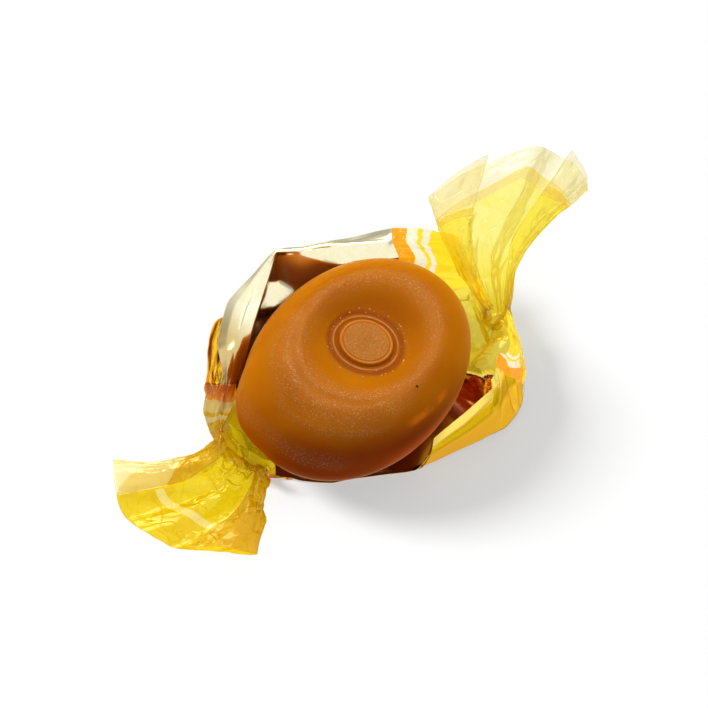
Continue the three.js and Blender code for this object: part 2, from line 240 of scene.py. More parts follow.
class Value:
    """One output socket of a material. Python's operators on it add Math nodes."""

    def __init__(self, look, socket):
        self.look = look
        self.socket = socket

    def math(self, operation, *others):
        return self.look.add("ShaderNodeMath", {"operation": operation}, dict(enumerate((self, *others))))

    def __add__(self, other):
        return self.math("ADD", other)

    __radd__ = __add__

    def __sub__(self, other):
        return self.math("SUBTRACT", other)

    def __rsub__(self, other):
        return self.look.add("ShaderNodeMath", {"operation": "SUBTRACT"}, {0: other, 1: self})

    def __mul__(self, other):
        return self.math("MULTIPLY", other)

    __rmul__ = __mul__

    def __truediv__(self, other):
        return self.math("DIVIDE", other)

    def __pow__(self, other):
        return self.math("POWER", other)

    def ramp(self, low, high):
        """0 below low, 1 above high, and a smooth step between; reversed where low is above high."""
        flip = low > high
        step = self.look.add(
            "ShaderNodeMapRange",
            {"interpolation_type": "SMOOTHSTEP"},
            {"Value": self, "From Min": min(low, high), "From Max": max(low, high)},
        )
        return 1 - step if flip else step

    def band(self, low, high, soft):
        """1 between low and high, 0 outside, with edges as wide as soft."""
        return self.ramp(low - soft / 2, low + soft / 2) * self.ramp(high + soft / 2, high - soft / 2)


class Look:
    """A material and its nodes."""

    def __init__(self, name, owner=None):
        self.owner = owner or bpy.data.materials.new(name)
        self.owner.use_nodes = True
        self.tree = self.owner.node_tree
        self.tree.nodes.clear()

    def add(self, kind, settings=None, inputs=None, out=0):
        """Adds a node: its settings first, then the values or links of its sockets. Returns one output."""
        node = self.tree.nodes.new(kind)
        for name, value in (settings or {}).items():
            setattr(node, name, value)
        for name, value in (inputs or {}).items():
            if isinstance(value, Value):
                self.tree.links.new(value.socket, node.inputs[name])
            else:
                node.inputs[name].default_value = value
        return Value(self, node.outputs[out]) if len(node.outputs) else node

    def mix(self, share, a, b):
        """Colour a where share is 0 and b where it is 1."""
        return self.add("ShaderNodeMix", {"data_type": "RGBA"}, {0: share, 6: a, 7: b}, out=2)

    def blend(self, share, a, b):
        """Shader a where share is 0 and b where it is 1."""
        return self.add("ShaderNodeMixShader", None, {0: share, 1: a, 2: b})

    def noise(self, place, scale, detail=2.0, roughness=0.5, distortion=0.0):
        """Noise with lumps of about 1 / scale, in the units of place."""
        return self.add(
            "ShaderNodeTexNoise",
            None,
            {
                "Vector": place,
                "Scale": scale,
                "Detail": detail,
                "Roughness": roughness,
                "Distortion": distortion,
            },
        )

    def cells(self, place, scale, edge=False):
        """Random grey of each Voronoi cell, or the distance to a cell's edge."""
        where = {"Vector": place, "Scale": scale}
        if edge:
            return self.add("ShaderNodeTexVoronoi", {"feature": "DISTANCE_TO_EDGE"}, where)
        colour = self.add("ShaderNodeTexVoronoi", {"feature": "F1"}, where, out=1)
        return self.add("ShaderNodeSeparateColor", None, {0: colour})

    def tint(self, red, green, blue):
        """Clear film that lets through these shares of the light."""
        return self.add("ShaderNodeBsdfTransparent", None, {0: (red, green, blue, 1)})

    def surface(self, shader):
        """Ends the material with its shader and returns it."""
        self.add("ShaderNodeOutputMaterial", None, {"Surface": shader})
        return self.owner


def rgb(red, green, blue):
    """Linear colour from the 0 to 255 values of a screen colour."""
    def linear(value):
        share = value / 255
        return share / 12.92 if share <= 0.04045 else ((share + 0.055) / 1.055) ** 2.4

    return (linear(red), linear(green), linear(blue), 1.0)


# ---- meshes ----


def smoothstep(t):
    """0 below 0, 1 above 1, and 3t^2 - 2t^3 between."""
    c = np.clip(t, 0.0, 1.0)
    return c * c * (3 - 2 * c)


def smootherstep(t):
    """0 below 0, 1 above 1, and 6t^5 - 15t^4 + 10t^3 between."""
    c = np.clip(t, 0.0, 1.0)
    return c * c * c * (c * (6 * c - 15) + 10)


def bump(t, middle, spread):
    """A bell of height 1 at middle: exp(-((t - middle) / spread)^2)."""
    return np.exp(-(((t - middle) / spread) ** 2))


def put_mesh(name, points, faces, materials, face_material=None, uv=None):
    """A smooth-shaded object from points in mm round the caramel's middle, and lists of corner numbers."""
    mesh = bpy.data.meshes.new(name)
    mesh.from_pydata(((points + MIDDLE / MM) * MM).tolist(), [], faces)
    for material in materials:
        mesh.materials.append(material)
    if face_material is not None:
        mesh.polygons.foreach_set("material_index", face_material.astype(np.int32))
    mesh.polygons.foreach_set("use_smooth", np.ones(len(mesh.polygons), dtype=bool))
    if uv is not None:
        loops = np.empty(len(mesh.loops), dtype=np.int32)
        mesh.loops.foreach_get("vertex_index", loops)
        layer = mesh.uv_layers.new(name="film")
        layer.data.foreach_set("uv", uv[loops].astype(np.float32).ravel())
    mesh.update()
    piece = bpy.data.objects.new(name, mesh)
    bpy.context.scene.collection.objects.link(piece)
    return piece


def grid_quads(rows, columns, wrap=False):
    """Corner numbers of the quads of a grid of points stored row by row."""
    i = np.arange(rows - 1)[:, None]
    j = np.arange(columns if wrap else columns - 1)[None, :]
    k = (j + 1) % columns
    near, far = i * columns, (i + 1) * columns
    return np.stack([near + j, far + j, far + k, near + k], -1).reshape(-1, 4)


# ---- caramel's shape ----


def oval_radius(angle, a, b, exponent):
    """Distance from the axis to the superellipse |x / a|^n + |y / b|^n = 1 in direction angle."""
    return (np.abs(np.cos(angle) / a) ** exponent + np.abs(np.sin(angle) / b) ** exponent) ** (-1 / exponent)


def outline_radius(angle):
    """Distance from the axis to the caramel's plan outline, an oval with one fuller shoulder."""
    starts = smoothstep((angle - SHOULDER_FROM) / SHOULDER_EASE)
    shoulder = SHOULDER * starts * smoothstep((SHOULDER_TO - angle) / SHOULDER_EASE)
    return oval_radius(angle, CARAMEL_LENGTH / 2, CARAMEL_WIDTH / 2, PLAN_ROUNDNESS) + shoulder


def pillow_height(share):
    """Half the thickness times (1 - share^n)^(1/n), at a share of the way from the axis to the outline."""
    return CARAMEL_THICKNESS / 2 * np.clip(1 - share**SIDE_ROUNDNESS, 0, None) ** (1 / SIDE_ROUNDNESS)


def top_height(r, angle, outline, crest):
    """Height of the top. A dish is taken off the pillow, deepest in the middle and gone beyond the crest.
    Round the flat boss run a narrow groove and a raised ring, and a flow step crosses the left end."""
    boss_top = CARAMEL_THICKNESS / 2 - BOSS_BELOW_TOP
    floor = boss_top - GROOVE_DEPTH
    part = np.clip((r - GROOVE_RADIUS) / (1.3 * crest - GROOVE_RADIUS), 0, 1)
    depth = pillow_height(GROOVE_RADIUS / outline) - floor
    bowl = pillow_height(r / outline) - depth * (1 - smootherstep(part**0.75))
    left = (0.5 + 0.5 * np.cos(angle - 2.75)) ** 3
    bowl += left * (0.17 * bump(r / crest, 1.17, 0.10) + 0.09 * bump(r / crest, 0.93, 0.06))
    flow = bump(np.angle(np.exp(1j * (angle - 3.44))), 0, 0.55)
    bowl -= 0.13 * flow * smoothstep((r / crest - 1.35) / 0.05) * smoothstep((1.52 - r / crest) / 0.12)
    wall = smoothstep((r - BOSS_RADIUS + 0.03) / 0.3)
    boss = boss_top - (GROOVE_DEPTH + 0.03) * wall - 0.04 * bump(r, BOSS_PANEL_RADIUS + 0.05, 0.045)
    boss += 0.04 * smoothstep((r - GROOVE_RADIUS + 0.16) / 0.14)
    joined = smoothstep((r - GROOVE_RADIUS - 0.06) / 0.3)
    return boss + (np.where(r < GROOVE_RADIUS, floor, bowl) - boss) * joined


def make_caramel(material):
    """Rings of points round the axis, from the boss out to the rim and in again to the foot."""
    sides = 320
    angle = np.linspace(0, 2 * np.pi, sides, endpoint=False)[None, :]
    outline = outline_radius(angle)
    crest = oval_radius(angle, CREST_RADIUS_LONG, CREST_RADIUS_SHORT, 2)
    inner = np.linspace(0.02, 3.3, 90)[:, None] + 0 * angle
    part = np.sin(np.linspace(0.012, 1, 110)[:, None] * np.pi / 2)
    outer = 3.3 + (outline - 3.3) * part
    top = np.vstack([inner, outer])
    under = outline * np.cos(np.linspace(0.02, 0.995, 60)[:, None] * np.pi / 2)
    r = np.vstack([top, under])
    z = np.vstack([top_height(top, angle, outline, crest), -pillow_height(under / outline)])
    x, y = r * np.cos(angle), r * np.sin(angle)
    c, s = math.cos(CARAMEL_TURN), math.sin(CARAMEL_TURN)
    points = np.stack([c * x - s * y, s * x + c * y, z + CARAMEL_MIDDLE_HEIGHT], -1)
    rows = len(points)
    poles = np.array([[0, 0, points[0, :, 2].mean()], [0, 0, points[-1, :, 2].mean()]])
    n = rows * sides
    j = np.arange(sides)
    k = (j + 1) % sides
    top_fan = np.stack([0 * j + n, j, k], -1)
    foot_fan = np.stack([0 * j + n + 1, n - sides + k, n - sides + j], -1)
    faces = grid_quads(rows, sides, wrap=True).tolist() + top_fan.tolist() + foot_fan.tolist()
    return put_mesh("caramel_sweet", np.vstack([points.reshape(-1, 3), poles]), faces, [material])


# ---- wrapper's shape ----


def seen_at(column, row, height):
    """The place at a height that the image shows at a pixel, to 0.1 mm: the ray from the eye through the
    pixel, cut by the level plane."""
    ray = (column - AIM_COLUMN) / FOCAL_PIXELS * RIGHT - (row - AIM_ROW) / FOCAL_PIXELS * UP - BACK
    return np.round(EYE + ray * (height - EYE[2]) / ray[2], 1)


def rail_knots(name):
    """A rail's knots between the necks in order: station, x, y and z."""
    seen = [(station, *seen_at(*knot)) for station, knot in SEEN_KNOTS.get(name, {}).items()]
    hidden = [(station, *place) for station, place in HIDDEN_KNOTS.get(name, {}).items()]
    return sorted(seen + hidden)


def loop_turn():
    """Angle of each rail round a tail's flattened loop, which is open at the top."""
    return TAIL_GAP_ANGLE + LOOP_TURN * np.arange(len(RAILS)) / (len(RAILS) - 1)


def loop_section(near, middle, far, rise):
    """A flattened loop from the near edge round the underside to the far edge."""
    side = -np.sin(loop_turn())[:, None]
    near, middle, far = np.array(near), np.array(middle), np.array(far)
    line = near * side * (side - 1) / 2 + middle * (1 - side**2) + far * side * (side + 1) / 2
    return line + np.array((0, 0, rise)) * np.cos(loop_turn())[:, None]


def bent_line(u, knots):
    """Places at stations u on the straight pieces between knots of station, x, y and z."""
    return np.stack([np.interp(u, knots[:, 0], knots[:, k]) for k in (1, 2, 3)], -1)


def soft_line(u, knots, half):
    """The bent line's mean over half a width on each side of u."""
    steps = np.linspace(-1, 1, 9)
    return sum(bent_line(u + half * step, knots) for step in steps) / len(steps)


def hat_integral(x):
    """Integral of a hat of height 1 that stands on -1 to 1."""
    c = np.clip(x, -1, 1)
    return np.where(c < 0, (1 + c) ** 2 / 2, 1 - (1 - c) ** 2 / 2)


def rail_lines(u):
    """Every rail at stations u, from the near rim over the floor to the cuff's edge."""
    left = [loop_section(*row) for row in LEFT_TAIL]
    right = [loop_section(*row) for row in RIGHT_TAIL]
    inside = np.minimum(u - LEFT_NECK, RIGHT_NECK - u)
    half = FOLD_ALONG + (FOLD_AT_ENDS - FOLD_ALONG) * smoothstep(1 - inside)
    lines = {}
    for number, name in enumerate(RAILS):
        if name == "floor":
            continue
        ends = [(i, *left[i][number]) for i in range(len(left))]
        tail = [(RIGHT_NECK + i, *right[i][number]) for i in range(len(right))]
        lines[name] = soft_line(u, np.array(ends + rail_knots(name) + tail), half)
    flat = (lines["near_foot"] + lines["far_foot"]) / 2 * (1, 1, 0)
    number = list(RAILS).index("floor")
    loops = [(i, *left[i][number]) for i in range(len(left))]
    loops += [(RIGHT_NECK + i, *right[i][number]) for i in range(len(right))]
    tails = soft_line(u, np.array(loops), half)
    lines["floor"] = flat + (tails - flat) * smoothstep(1 - inside)[:, None]
    return np.stack([lines[name] for name in RAILS], 1)


def smooth_sheet(u, v):
    """Film without its crumples at stations u by rails v: running means of the rails across the film."""
    inside = np.minimum(u - LEFT_NECK, RIGHT_NECK - u)[:, None]
    softness = np.interp(v, np.arange(len(RAILS)), [row[0] for row in RAILS.values()])[None, :]
    softness = softness + (0.42 - softness) * smoothstep(1.2 - inside)
    half = np.maximum(np.minimum(softness, np.minimum(v, len(RAILS) - 1 - v)[None, :]), 1e-3)[..., None]
    away = v[None, :, None] - np.arange(len(RAILS))
    share = (hat_integral(away + half) - hat_integral(away - half)) / (2 * half)
    return np.einsum("uvj,ujk->uvk", share, rail_lines(u))


def grid_normals(points):
    """Unit normals of a grid, towards the side that held the caramel."""
    normal = np.cross(np.gradient(points, axis=0), np.gradient(points, axis=1))
    return normal / np.maximum(np.linalg.norm(normal, axis=-1, keepdims=True), 1e-9)


def facets(a, b, seed, wander=0.35):
    """Crumpled facets: random heights on a lattice of unit triangles, joined by flat faces.
    Slow waves bend the lattice, so that no two facets are alike."""
    random = np.random.default_rng(seed)
    heights = random.uniform(-1, 1, (64, 64))
    phase = random.uniform(0, 2 * np.pi, 4)
    a, b = (
        a + wander * np.sin(1.7 * b + phase[0]) + wander * np.sin(2.3 * a + phase[1]),
        b + wander * np.sin(1.9 * a + phase[2]) + wander * np.sin(2.9 * b + phase[3]),
    )
    i, j = np.floor(a).astype(int), np.floor(b).astype(int)
    fa, fb = a - i, b - j
    corner = [[heights[(i + di) % 64, (j + dj) % 64] for dj in (0, 1)] for di in (0, 1)]
    lower = corner[0][0] + (corner[1][0] - corner[0][0]) * fa + (corner[0][1] - corner[0][0]) * fb
    upper = corner[1][1] + (corner[0][1] - corner[1][1]) * (1 - fa) + (corner[1][0] - corner[1][1]) * (1 - fb)
    return np.where(fa + fb < 1, lower, upper)


def soft_facets(a, b, seed, soft=0.06):
    """Facets with their creases rounded: the mean of five near places."""
    places = ((0, 0), (soft, 0), (-soft, 0), (0, soft), (0, -soft))
    return sum(facets(a + da, b + db, seed) for da, db in places) / len(places)


def ridge(x, middle, half):
    """A straight-sided ridge of height 1."""
    return np.clip(1 - np.abs(x - middle) / half, 0, 1)


def window(x, start, rise, end, fall):
    """0 before start, 1 after rise more, and 0 again from end, with the fall before it."""
    return smoothstep((x - start) / rise) * smoothstep((end - x) / fall)


def saw(t):
    """Folded line of height -1 to 1 and period 1, with its folds slightly rounded."""
    return np.arcsin(0.985 * np.sin(2 * np.pi * t)) / np.arcsin(0.985)


def film_distance(u, v):
    """Place in the print, in mm beyond the metal's end and less than 0 on the metal. Past a neck it is set so
    that the milky stripe follows its own line across the tail. The left tail's clear corner has one value."""
    names = np.arange(len(RAILS))
    left_end = np.interp(v, names, [row[1] for row in RAILS.values()])[None, :]
    right_end = np.interp(v, names, [row[2] for row in RAILS.values()])[None, :]
    u = u[:, None]
    left_gain = np.interp(v, [0, 3, 4, 5.3, 5.8, 12], [4.6, 4.6, 300, 300, 4.6, 4.6])[None, :]
    right_gain = np.interp(v, [0, 3, 3.6, 6.3, 6.9, 9, 12], [6.0, 9.5, 300, 300, 6, 6, 5.2])[None, :]
    body_left = (left_end - u) * left_gain  # on the floor the metal goes over into clear film at once
    body_right = (u - right_end) * right_gain
    past_left = LEFT_NECK - u
    past_right = u - RIGHT_NECK
    stripe = np.interp(v, [2, 6, 10], RIGHT_STRIPE)[None, :]
    tail_left = TAIL_STRIPE + (past_left - LEFT_STRIPE) * PRINT_AT_STATION
    on_stripe = (np.abs(v - 5.9)[None, :] < 1.5) & (past_left < LEFT_STRIPE + 0.16)
    tail_left = np.where(on_stripe, np.maximum(tail_left, PRINT_AT_NECK), PRINT_AT_NECK)
    corner = LEFT_PALE_START + LEFT_PALE_SLANT * np.abs(v - LEFT_PALE_RAIL)[None, :]
    tail_left = np.where(past_left > corner, TAIL_PALE, tail_left)
    tail_right = np.maximum(TAIL_STRIPE + (past_right - stripe) * PRINT_AT_STATION, PRINT_AT_NECK)
    left = np.where(past_left > 0, tail_left, np.minimum(body_left, PRINT_AT_NECK))
    right = np.where(past_right > 0, tail_right, np.minimum(body_right, PRINT_AT_NECK))
    return np.where(u < HALF_WAY, left, right)


def outside_caramel(points):
    """Points moved off the caramel. With s the share of the outline and h that of half the thickness, a point
    lies inside where f = (s^n + h^n)^(1/n) is less than 1. It is moved along f's gradient until f is 1."""
    c, s = math.cos(CARAMEL_TURN), math.sin(CARAMEL_TURN)
    x, y = c * points[..., 0] + s * points[..., 1], c * points[..., 1] - s * points[..., 0]
    z = points[..., 2] - CARAMEL_MIDDLE_HEIGHT
    angle, r = np.mod(np.arctan2(y, x), 2 * np.pi), np.hypot(x, y)
    outline = outline_radius(angle) + CARAMEL_CLEARANCE
    half = CARAMEL_THICKNESS / 2 + CARAMEL_CLEARANCE
    for _ in range(4):
        share, high = r / outline, np.abs(z) / half
        f = np.maximum((share**SIDE_ROUNDNESS + high**SIDE_ROUNDNESS) ** (1 / SIDE_ROUNDNESS), 0.1)
        out = (share / f) ** (SIDE_ROUNDNESS - 1) / outline
        away = np.sign(z) * (high / f) ** (SIDE_ROUNDNESS - 1) / half
        step = np.clip(1 - f, 0, None) / (out**2 + away**2)
        r, z = r + step * out, z + step * away
    x, y = r * np.cos(angle), r * np.sin(angle)
    return np.stack([c * x - s * y, s * x + c * y, z + CARAMEL_MIDDLE_HEIGHT], -1)


def film_pleats(station, turn, tail):
    """Folds that run along the film: fine ones that fan out from the necks, and two sizes on the tails."""
    to_neck = np.minimum(np.abs(station - LEFT_NECK), np.abs(station - RIGHT_NECK))
    wander = 0.25 * np.sin(2.2 * station + 5 * turn)
    pleats = 0.13 * bump(to_neck, 0, 0.8) * saw(17 * turn + wander)
    return pleats + tail * (0.08 * saw(9 * turn + wander) + 0.03 * saw(23 * turn - wander))


def film_crumples(station, rail, turn, body, tail):
    """How far crumpled facets, folds and slow waves stand off the smooth sheet. The facets lie on the clear
    film of the body and the tails, on its floor, on the left wall, at the flap's end and in the right corner.
    The flap also has one petal and two folds, and the cuff a groove."""
    out = body * 0.24 * soft_facets(station * 2.6, turn * 24, 3)
    out += body * 0.09 * soft_facets(station * 6.1, turn * 60, 4)
    over_floor = body * window(rail, 3.4, 0.5, 6.9, 0.5)
    out += over_floor * (0.45 + 0.50 * soft_facets(station * 3.4, rail * 1.7, 15))
    out += tail * 0.30 * soft_facets(station * 1.5, turn * 11, 7)
    out += tail * 0.06 * soft_facets(station * 3.7, turn * 30, 8)
    left_wall = window(station, 3.9, 0.4, 5.95, 0.2) * window(rail, 6.9, 0.2, 9.3, 0.2)
    out += left_wall * 0.30 * soft_facets(station * 1.9, rail * 2.3, 11)
    out += left_wall * 0.10 * soft_facets(station * 4, rail * 5, 12)
    flap_end = window(station, 9.9, 0.5, 11.0, 0.3) * smoothstep((2.8 - rail) / 0.6)
    out += flap_end * 0.20 * soft_facets(station * 5.2, rail * 0.9, 13)
    petal = ridge(station + 0.05 * rail, 10.14, 0.13) * smoothstep((2.0 - rail) / 0.8)
    folds = ridge(station - 0.02 * rail, 10.56, 0.10) + 0.6 * ridge(station + 0.03 * rail, 10.86, 0.08)
    out += 0.36 * petal + 0.34 * folds * window(rail, 0.4, 0.4, 3.0, 0.5)
    corner = window(station, 9.3, 0.3, 10.5, 0.3) * window(rail, 3.8, 0.4, 7.2, 0.4)
    out += corner * 0.22 * soft_facets(station * 4.3, rail * 1.6, 14)
    out -= 0.10 * bump(rail, 10.8, 0.07) * window(station, 5.45, 0.2, 6.3, 0.3)
    return out + 0.03 * (np.sin(3.1 * station + 9 * turn) + np.sin(5.3 * station - 13 * turn + 1))


def film_shape(u, v):
    """The whole film: the smooth sheet with its pleats and crumples along its normals, and waves across the
    tails, kept off the caramel and the floor."""
    points = smooth_sheet(u, v)
    normals = grid_normals(points)
    station, rail = np.meshgrid(u, v, indexing="ij")
    turn = rail / (len(RAILS) - 1)
    beyond = np.maximum(LEFT_NECK - station, station - RIGHT_NECK)
    tail = smoothstep(beyond / 1.2)
    body = smoothstep(film_distance(u, v) / 2.5) * (1 - tail)
    off = film_pleats(station, turn, tail) + film_crumples(station, rail, turn, body, tail) + FILM_LIFT
    points = points + normals * off[..., None]
    round_loop = TAIL_GAP_ANGLE + LOOP_TURN * turn
    points[..., 2] += 0.3 * smoothstep(beyond / 2) * np.cos(2.6 * np.pi * np.sin(round_loop))
    points = outside_caramel(points)
    points[..., 2] = np.maximum(points[..., 2], FLOOR_CLEARANCE)
    return points, normals


def make_film(name, u, v, outer, inner):
    """A closed thin slab: outer faces, inner faces and the rim between them."""
    points, normals = film_shape(u, v)
    rows, columns = len(u), len(v)
    both = np.concatenate([points.reshape(-1, 3), (points + normals * FILM).reshape(-1, 3)])
    quads = grid_quads(rows, columns)
    n = rows * columns
    i, j = np.arange(rows - 1), np.arange(columns - 1)
    edges = [  # pairs of neighbouring points in order round the border
        np.stack([i * columns, (i + 1) * columns], -1),
        np.stack([(i + 2) * columns - 1, (i + 1) * columns - 1], -1),
        np.stack([j + 1, j], -1),
        np.stack([n - columns + j, n - columns + j + 1], -1),
    ]
    rim = np.concatenate([np.concatenate([pair, pair[:, ::-1] + n], -1) for pair in edges])
    faces = np.concatenate([quads[:, ::-1], quads + n, rim])
    side = np.concatenate([np.zeros(len(quads)), np.ones(len(quads)), np.zeros(len(rim))])
    along = film_distance(u, v)
    across = np.broadcast_to(v[None, :] * RAIL_GAP, along.shape)
    uv = np.stack([along, across], -1).reshape(-1, 2) / UV_SPAN + 0.5
    return put_mesh(name, both, faces.tolist(), [outer, inner], side, np.concatenate([uv, uv]))


# ---- materials ----


class CaramelPlan:
    """Where a point lies on the caramel, in mm round its middle, and the zones of its surface."""

    def __init__(self, look):
        self.look = look
        self.place = look.add("ShaderNodeTexCoord", None, None, out=3)
        middle = (MIDDLE[0], MIDDLE[1], CARAMEL_MIDDLE_HEIGHT * MM)
        subtract = {"operation": "SUBTRACT"}
        self.offset = look.add("ShaderNodeVectorMath", subtract, {0: self.place, 1: middle})
        self.long = self.measure((math.cos(CARAMEL_TURN), math.sin(CARAMEL_TURN), 0))
        self.short = self.measure((-math.sin(CARAMEL_TURN), math.cos(CARAMEL_TURN), 0))
        self.height = self.measure((0, 0, 1))
        self.radius = (self.long * self.long + self.short * self.short) ** 0.5
        self.share = ((self.long / CREST_RADIUS_LONG) ** 2 + (self.short / CREST_RADIUS_SHORT) ** 2) ** 0.5
        self.grain = look.noise(self.place, 6500.0, 2.0, 0.6)
        self.blotch = look.noise(self.place, 420.0, 3.0, 0.6)
        self.on_top = self.height.ramp(2.2, 3.2)
        self.disc = self.radius.ramp(BOSS_PANEL_RADIUS + 0.03, BOSS_PANEL_RADIUS - 0.03) * self.on_top
        self.rim_line = self.radius.band(2.27, 2.45, 0.06) * self.on_top
        self.frost_ring = self.radius.band(2.95, 3.12, 0.08) * self.on_top * self.blotch.ramp(0.3, 0.55)
        worn_spots = look.noise(self.place, 1500.0, 0.0, 0.5, 0.6).band(0.47, 0.50, 0.02)
        self.worn = worn_spots * self.radius.ramp(0.95, 0.45) * self.on_top
        self.crest = self.frosted_crest()

    def measure(self, axis):
        """Distance in mm from the middle along an axis."""
        scaled = tuple(part / MM for part in axis)
        settings = {"operation": "DOT_PRODUCT"}
        return self.look.add("ShaderNodeVectorMath", settings, {0: self.offset, 1: scaled}, out=1)

    def frosted_crest(self):
        """Frosting on the crest round the dish, strongest at the left, on the flow step and the left tip."""
        left_side = self.long.ramp(2.0, -7.0)
        crest = self.share.ramp(0.68, 0.9) * (self.share - 0.22 * left_side).ramp(1.2, 1.0)
        crest = crest * self.height.ramp(2.6, 3.6) * self.blotch.ramp(0.15, 0.5) * (0.5 + 0.5 * left_side)
        crest = crest * (1 - self.share.band(0.99, 1.07, 0.06) * left_side * 0.7)
        flow_way = (self.measure((-0.853, -0.522, 0)) / self.radius).ramp(0.80, 0.95)
        crest = crest + self.share.band(1.34, 1.40, 0.06) * flow_way * 0.7
        return crest + self.long.ramp(-9.0, -11.5) * self.height.band(0.2, 2.0, 1.2) * 0.5


def caramel_colour(look, plan):
    """Amber, with painted shade that makes it darker and redder low down, on the near and far flanks and on
    the dish's back slope, and a painted reflection of the gold flap low on the near flank. Redder in the
    groove and the ring round it, and paler on the boss.
    """
    cloud = look.noise(plan.place, 150.0, 2.0, 0.5)
    colour = look.mix(cloud.ramp(0.35, 0.7), rgb(172, 98, 3), rgb(163, 89, 1))
    # Painted shade: darker and redder towards the bottom.
    colour = look.mix(plan.height.ramp(3.2, -2.5), colour, rgb(148, 66, 0))
    # Painted shade: the near flank, low down, darker red-brown.
    shaded_near_flank = plan.measure((-0.30, -0.95, 0)).ramp(2.5, 9.5) * plan.height.ramp(4.6, 1.5)
    colour = look.mix(shaded_near_flank, colour, rgb(116, 42, 0))
    groove = plan.radius.band(2.5, 2.93, 0.16) * plan.on_top
    red_ring = plan.radius.band(3.12, 3.7, 0.5) * plan.on_top
    colour = look.mix(red_ring * 0.75 + groove * 0.6, colour, rgb(132, 52, 0))
    colour = look.mix(plan.disc * 0.4 + plan.rim_line * 0.3, colour, rgb(164, 102, 26))
    colour = look.mix(plan.worn * 0.35, colour, rgb(130, 64, 4))
    # Painted shade: the dish's back slope, which faces away from the light, darker red.
    shaded_back_slope = (plan.measure((0.76, 0.65, 0)) / plan.radius).ramp(0.1, 0.9) * plan.radius.ramp(3.1, 3.5)
    shaded_back_slope = shaded_back_slope * plan.share.ramp(0.85, 0.5) * plan.on_top
    colour = look.mix(shaded_back_slope * 0.4, colour, rgb(134, 52, 0))
    # Painted shade: the far flank, low down, dark brown.
    shaded_far_flank = plan.measure((0.3, 0.95, 0)).ramp(4.5, 7.5) * plan.height.ramp(3.6, 1.5)
    colour = look.mix(shaded_far_flank, colour, rgb(104, 44, 0))
    # Painted reflection of the gold flap: a broken bright orange line low on the near flank.
    painted_flap_reflection = plan.height.band(2.7, 3.3, 0.5) * plan.long.band(-3.8, 1.4, 1.4)
    painted_flap_reflection = painted_flap_reflection * plan.short.ramp(-7.2, -7.8) * plan.blotch.ramp(0.35, 0.55)
    colour = look.mix(painted_flap_reflection * 0.6, colour, rgb(206, 108, 10))
    from_speck = ((plan.long + 1.3) ** 2 + (plan.short + 6.5) ** 2) ** 0.5
    return look.mix(from_speck.ramp(0.16, 0.10) * plan.on_top, colour, rgb(60, 22, 4))


def caramel_material():
    """Boiled sugar with a satin skin and frosted grain on the crest and the boss. A weak emission on the
    hidden near side stands for the light that comes through the body."""
    look = Look("caramel_satin")
    plan = CaramelPlan(look)
    relief = plan.grain * (0.25 + (plan.crest + plan.disc * 0.8 + plan.frost_ring)) - plan.worn * 1.5
    normal = look.add("ShaderNodeBump", None, {"Strength": 0.7, "Distance": 0.00009, "Height": relief})
    hidden_side = plan.measure((0.56, -0.83, 0)).ramp(4.0, 8.0) * plan.height.ramp(1.5, -1.5)
    body = look.add(
        "ShaderNodeBsdfPrincipled",
        None,
        {
            "Base Color": caramel_colour(look, plan),
            "Roughness": 0.5,
            "Subsurface Weight": 0.8,
            "Subsurface Radius": (1.0, 0.35, 0.08),
            "Subsurface Scale": 0.0015,
            "Specular IOR Level": 0.0,
            "Emission Color": look.mix(hidden_side, rgb(0, 0, 0), rgb(117, 36, 0)),
            "Emission Strength": 1.0,
            "Normal": normal,
        },
    )
    skin_finish = {"Color": (1, 0.84, 0.5, 1), "Roughness": 0.34, "Normal": normal}
    skin = look.add("ShaderNodeBsdfGlossy", None, skin_finish)
    rim_sheen = look.add("ShaderNodeFresnel", None, {0: 1.4}).ramp(0.05, 0.9)
    crystal = look.noise(plan.place, 5200.0, 0.0).ramp(0.78, 0.82)
    crystal = crystal * plan.radius.band(3.0, 4.1, 0.3) * plan.on_top
    gloss = 0.005 + plan.crest * (0.014 + 0.14 * plan.grain.ramp(0.5, 0.74))
    gloss = gloss + plan.disc * (0.005 + 0.045 * plan.grain.ramp(0.4, 0.7))
    gloss = gloss + rim_sheen * 0.3 + plan.frost_ring * 0.06 + crystal * 0.35 + plan.rim_line * 0.02
    return look.surface(look.blend(gloss, body, skin))


class FilmPlan:
    """Where a point lies on the film: mm beyond the metal's end, rails across it and mm to the right of the
    caramel's middle. With them the zones of the print."""

    def __init__(self, look):
        uv = look.add("ShaderNodeUVMap", {"uv_map": "film"})
        self.place = look.add("ShaderNodeTexCoord", None, None, out=3)
        self.along = (look.add("ShaderNodeSeparateXYZ", None, {0: uv}) - 0.5) * UV_SPAN
        self.across = (look.add("ShaderNodeSeparateXYZ", None, {0: uv}, out=1) - 0.5) * (UV_SPAN / RAIL_GAP)
        self.side = (look.add("ShaderNodeSeparateXYZ", None, {0: self.place}) - float(MIDDLE[0])) / MM
        self.leftward = self.side.ramp(-4, -6)
        self.far_left = self.side.ramp(-6, -10)
        self.rightward = self.side.ramp(0, 4)
        self.metal = self.along.ramp(0.06, -0.06)
        self.orange = self.along.band(0.0, 1.7, 0.12)
        self.clear = self.along.band(1.7, 2.8, 0.12)
        self.stripe = self.along.band(3.2, 3.75, 0.1)
        self.body = self.along.ramp(PRINT_AT_NECK + 1, PRINT_AT_NECK - 3)
        self.tail_stripe = self.along.band(TAIL_STRIPE, TAIL_STRIPE + 0.9, 0.1)
        self.pale_end = self.along.ramp(TAIL_STRIPE + 0.85, TAIL_STRIPE + 0.95)
        drawn_out = look.add("ShaderNodeVectorMath", {"operation": "MULTIPLY"}, {0: uv, 1: (7, 30, 1)})
        self.streak = look.noise(drawn_out, 5.0, 2.0, 0.6)


